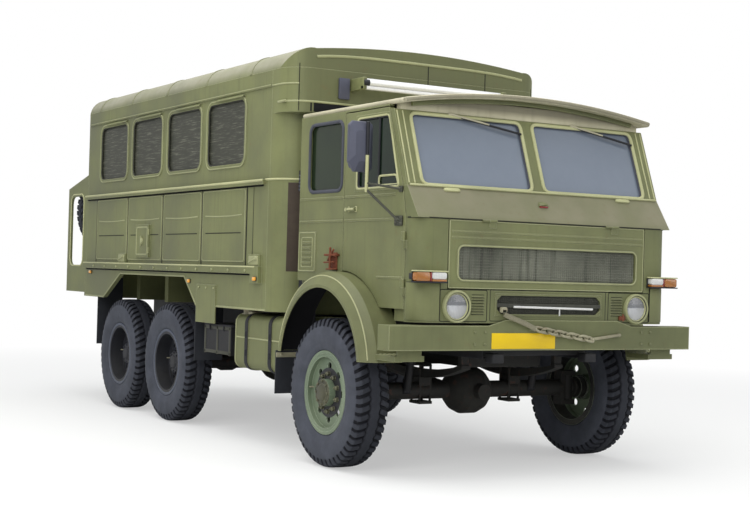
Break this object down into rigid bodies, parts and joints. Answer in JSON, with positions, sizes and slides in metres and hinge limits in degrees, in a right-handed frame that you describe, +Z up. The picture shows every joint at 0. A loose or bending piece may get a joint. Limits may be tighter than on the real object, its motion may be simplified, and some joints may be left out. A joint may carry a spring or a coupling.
{
  "type": "military cargo truck with windowed hard top",
  "caption": "Cab-over military cargo truck with driven single wheels on all axles, steel cargo body, windowed hard top and a spare wheel on a rear carrier.",
  "frame": {"origin": "middle of the truck's box, on the ground", "axes": "front faces -Y, +X is the truck's own left, +Z is up"},
  "size_m": [2.547, 6.5573, 3],
  "materials": {
    "olive_paint": "semi-matt olive green paint",
    "roof_sheet": "cream paint, matt",
    "wheel_paint": "light green paint",
    "frame_paint": "matt black chassis paint",
    "cast_parts": "painted castings, dusty",
    "bare_steel": "worn steel",
    "mesh_steel": "woven wire",
    "tread": "black rubber",
    "flap_rubber": "black rubber sheet",
    "clear_glass": "clear glass",
    "body_pane": "translucent reinforced pane",
    "lamp_chrome": "polished reflector",
    "amber_lens": "amber lens",
    "white_tube": "opal tube",
    "dark_plastic": "dark grey plastic",
    "seat_cloth": "woven seat cloth",
    "strap_webbing": "beige woven strap"
  },
  "bodies": {
    "truck": {"chassis_frame": "frame_paint", "front_bumper": "olive_paint", "tow_chain": "bare_steel", "tow_strap": "strap_webbing", "cab_floor": "olive_paint", "cab_front": "olive_paint", "windscreen_frame": "olive_paint", "cab_shell": "olive_paint", "cab_roof": "roof_sheet", "lower_grille": "mesh_steel", "headlamps": "lamp_chrome", "signal_lamps": "amber_lens", "cab_glass": "clear_glass", "seats": "seat_cloth", "cab_controls": "dark_plastic", "fenders": "olive_paint", "mudflaps": "flap_rubber", "engine": "cast_parts", "driveline": "cast_parts", "front_axle": "cast_parts", "bogie": "cast_parts", "spare_rim": "wheel_paint", "spare_tyre": "tread", "fuel_tank": "olive_paint", "battery_box": "frame_paint", "air_tanks": "frame_paint", "exhaust": "bare_steel", "air_intake": "dark_plastic", "cargo_floor": "olive_paint", "cargo_sides": "olive_paint", "cargo_front_wall": "olive_paint", "cargo_rear_wall": "olive_paint", "hardtop": "olive_paint", "hardtop_sides": "olive_paint", "hardtop_ends": "olive_paint", "hardtop_panes": "body_pane", "rear_carrier": "olive_paint", "light_bar": "white_tube"},
    "door_right": {"door_right": "olive_paint", "door_glass_right": "clear_glass", "mirror": "dark_plastic"},
    "door_left": {"door_left": "olive_paint", "door_glass_left": "clear_glass"},
    "grille_panel": {"grille_hatch": "olive_paint", "grille_mesh": "mesh_steel"},
    "rear_door": {"rear_door": "olive_paint"},
    "knuckle_right": {"knuckle_right": "cast_parts"},
    "knuckle_left": {"knuckle_left": "cast_parts"},
    "wheel_front_right": {"rim_front_right": "wheel_paint", "tyre_front_right": "tread"},
    "wheel_front_left": {"rim_front_left": "wheel_paint", "tyre_front_left": "tread"},
    "wheel_middle_right": {"rim_middle_right": "wheel_paint", "tyre_middle_right": "tread"},
    "wheel_middle_left": {"rim_middle_left": "wheel_paint", "tyre_middle_left": "tread"},
    "wheel_rear_right": {"rim_rear_right": "wheel_paint", "tyre_rear_right": "tread"},
    "wheel_rear_left": {"rim_rear_left": "wheel_paint", "tyre_rear_left": "tread"}
  },
  "joints": [
    {"name": "door_right_swing", "type": "hinge", "parent": "truck", "child": "door_right", "pos_m": [-1.0543, -3.071, 1.7], "axis": [0, 0, 1], "range_deg": [0, 70]},
    {"name": "door_left_swing", "type": "hinge", "parent": "truck", "child": "door_left", "pos_m": [1.0543, -3.071, 1.7], "axis": [0, 0, -1], "range_deg": [0, 70]},
    {"name": "grille_panel_lift", "type": "hinge", "parent": "truck", "child": "grille_panel", "pos_m": [0, -3.2243, 1.676], "axis": [-1, 0, 0], "range_deg": [0, 75]},
    {"name": "rear_door_swing", "type": "hinge", "parent": "truck", "child": "rear_door", "pos_m": [0.884, 2.6893, 1.9], "axis": [0, 0, -1], "range_deg": [0, 100]},
    {"name": "steer_right", "type": "hinge", "parent": "truck", "child": "knuckle_right", "pos_m": [-0.92, -2.28, 0.505], "axis": [0, 0, 1], "range_deg": [-27, 27]},
    {"name": "steer_left", "type": "hinge", "parent": "truck", "child": "knuckle_left", "pos_m": [0.92, -2.28, 0.505], "axis": [0, 0, 1], "range_deg": [-27, 27]},
    {"name": "spin_front_right", "type": "hinge", "parent": "knuckle_right", "child": "wheel_front_right", "pos_m": [-1.055, -2.28, 0.505], "axis": [1, 0, 0], "continuous": true},
    {"name": "spin_front_left", "type": "hinge", "parent": "knuckle_left", "child": "wheel_front_left", "pos_m": [1.055, -2.28, 0.505], "axis": [1, 0, 0], "continuous": true},
    {"name": "spin_middle_right", "type": "hinge", "parent": "truck", "child": "wheel_middle_right", "pos_m": [-0.985, 0.664, 0.505], "axis": [1, 0, 0], "continuous": true},
    {"name": "spin_middle_left", "type": "hinge", "parent": "truck", "child": "wheel_middle_left", "pos_m": [0.985, 0.664, 0.505], "axis": [1, 0, 0], "continuous": true},
    {"name": "spin_rear_right", "type": "hinge", "parent": "truck", "child": "wheel_rear_right", "pos_m": [-0.985, 1.795, 0.505], "axis": [1, 0, 0], "continuous": true},
    {"name": "spin_rear_left", "type": "hinge", "parent": "truck", "child": "wheel_rear_left", "pos_m": [0.985, 1.795, 0.505], "axis": [1, 0, 0], "continuous": true}
  ],
  "couplings": [
    {"joint": "steer_left", "follows": "steer_right", "ratio": 1}
  ]
}
